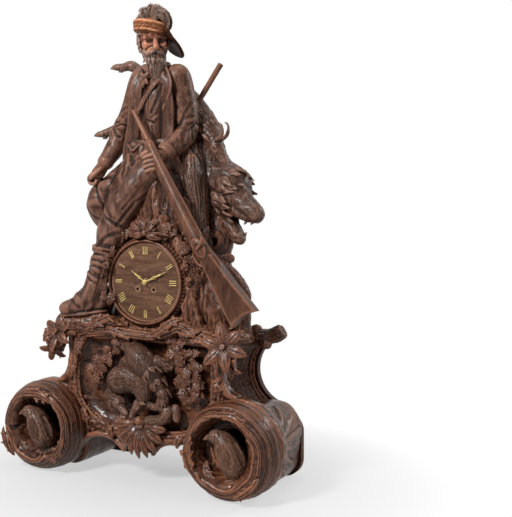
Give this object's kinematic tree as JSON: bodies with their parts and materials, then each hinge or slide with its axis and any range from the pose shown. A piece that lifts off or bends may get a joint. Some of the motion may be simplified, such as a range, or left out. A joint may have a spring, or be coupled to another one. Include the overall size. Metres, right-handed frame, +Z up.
{
  "type": "carved mantel clock",
  "caption": "Carved walnut mantel clock: a seated hunter with slung game above a scrolled plinth, round dial with gilt numerals, spring movement, pendulum and rear door.",
  "frame": {"origin": "middle of the whole clock at the level of its feet", "axes": "+Z up, the dial faces -Y, +X to the right of a person who reads the dial"},
  "size_m": [0.662, 0.272, 1.0219],
  "materials": {
    "carved_walnut": "oiled and waxed dark walnut, carved",
    "hat_walnut": "waxed lighter red walnut",
    "dial_walnut": "waxed walnut, turned and lightly carved",
    "gilt": "matt gilding",
    "brass": "lacquered brass",
    "steel": "polished steel and bell metal"
  },
  "bodies": {
    "root": {"front_board": "carved_walnut", "back_board": "carved_walnut", "top_board": "carved_walnut", "side_panel_left": "carved_walnut", "side_panel_right": "carved_walnut", "foot_left": "carved_walnut", "foot_right": "carved_walnut", "volute_scroll_left": "carved_walnut", "volute_scroll_right": "carved_walnut", "volute_birds": "carved_walnut", "niche_frame": "carved_walnut", "game_bird": "carved_walnut", "fox": "carved_walnut", "hound_head": "carved_walnut", "palmette_drop": "carved_walnut", "scroll_crest": "carved_walnut", "flower_left": "carved_walnut", "flower_right": "carved_walnut", "branch_stub": "carved_walnut", "ground": "carved_walnut", "tree_trunk": "carved_walnut", "root_branch": "carved_walnut", "hunter_body": "carved_walnut", "hunter_legs": "carved_walnut", "hunter_head": "carved_walnut", "hunter_hat": "hat_walnut", "hat_plume": "carved_walnut", "arm_left": "carved_walnut", "arm_right": "carved_walnut", "rifle": "carved_walnut", "staff": "carved_walnut", "chamois": "carved_walnut", "bear": "carved_walnut", "movement_ring": "brass", "dial": "dial_walnut", "numerals": "gilt", "dial_bezel": "carved_walnut", "front_plate": "brass", "back_plate": "brass", "plate_pillars": "brass", "suspension_cock": "brass", "bell": "steel", "door_hinge": "brass"},
    "minute_hand_set": {"minute_hand": "gilt", "cannon_pinion": "brass", "hand_nut": "gilt"},
    "hour_hand_set": {"hour_hand": "gilt", "hour_wheel": "brass"},
    "minute_wheel_set": {"minute_wheel": "brass"},
    "centre_set": {"centre_wheel": "brass"},
    "going_barrel_set": {"going_barrel": "brass"},
    "strike_barrel_set": {"strike_barrel": "brass"},
    "going_winder": {"winding_arbors_going": "steel"},
    "strike_winder": {"winding_arbors_strike": "steel"},
    "escape_set": {"escape_wheel": "brass"},
    "pallet_set": {"pallets": "steel"},
    "pendulum_set": {"pendulum": "brass"},
    "hammer_set": {"hammer": "steel"},
    "door_set": {"rear_door": "carved_walnut", "door_knob": "brass"}
  },
  "joints": [
    {"name": "minute_turn", "type": "hinge", "parent": "root", "child": "minute_hand_set", "pos_m": [0.009, -0.04, 0.423], "axis": [0, 1, 0], "continuous": true},
    {"name": "hour_turn", "type": "hinge", "parent": "root", "child": "hour_hand_set", "pos_m": [0.009, -0.04, 0.423], "axis": [0, 1, 0], "continuous": true},
    {"name": "minute_wheel_turn", "type": "hinge", "parent": "root", "child": "minute_wheel_set", "pos_m": [0.01407, -0.04, 0.43388], "axis": [0, 1, 0], "continuous": true},
    {"name": "centre_turn", "type": "hinge", "parent": "root", "child": "centre_set", "pos_m": [0.009, -0.04, 0.423], "axis": [0, 1, 0], "continuous": true},
    {"name": "going_barrel_turn", "type": "hinge", "parent": "root", "child": "going_barrel_set", "pos_m": [-0.011, -0.04, 0.407], "axis": [0, 1, 0], "continuous": true},
    {"name": "strike_barrel_turn", "type": "hinge", "parent": "root", "child": "strike_barrel_set", "pos_m": [0.029, -0.04, 0.407], "axis": [0, 1, 0], "continuous": true},
    {"name": "going_winding", "type": "hinge", "parent": "root", "child": "going_winder", "pos_m": [-0.011, -0.04, 0.407], "axis": [0, 1, 0], "range_deg": [0, 1980]},
    {"name": "strike_winding", "type": "hinge", "parent": "root", "child": "strike_winder", "pos_m": [0.029, -0.04, 0.407], "axis": [0, 1, 0], "range_deg": [0, 1980]},
    {"name": "escape_turn", "type": "hinge", "parent": "root", "child": "escape_set", "pos_m": [0.009, -0.04, 0.4464], "axis": [0, 1, 0], "continuous": true},
    {"name": "pendulum_swing", "type": "hinge", "parent": "root", "child": "pendulum_set", "pos_m": [0.009, 0.0212, 0.46], "axis": [0, 1, 0], "range_deg": [-4, 4]},
    {"name": "pallet_rock", "type": "hinge", "parent": "root", "child": "pallet_set", "pos_m": [0.009, -0.04, 0.46], "axis": [0, 1, 0], "range_deg": [-4, 4]},
    {"name": "hammer_lift", "type": "hinge", "parent": "root", "child": "hammer_set", "pos_m": [0.039, 0.0332, 0.393], "axis": [0, 1, 0], "range_deg": [0, 6]},
    {"name": "door_swing", "type": "hinge", "parent": "root", "child": "door_set", "pos_m": [-0.053, 0.0954, 0.395], "axis": [0, 0, 1], "range_deg": [0, 100]}
  ],
  "couplings": [
    {"joint": "hour_turn", "follows": "minute_turn", "ratio": 0.083333},
    {"joint": "minute_wheel_turn", "follows": "minute_turn", "ratio": -0.33333},
    {"joint": "going_barrel_turn", "follows": "centre_turn", "ratio": -0.14286},
    {"joint": "pallet_rock", "follows": "pendulum_swing", "ratio": 1}
  ]
}
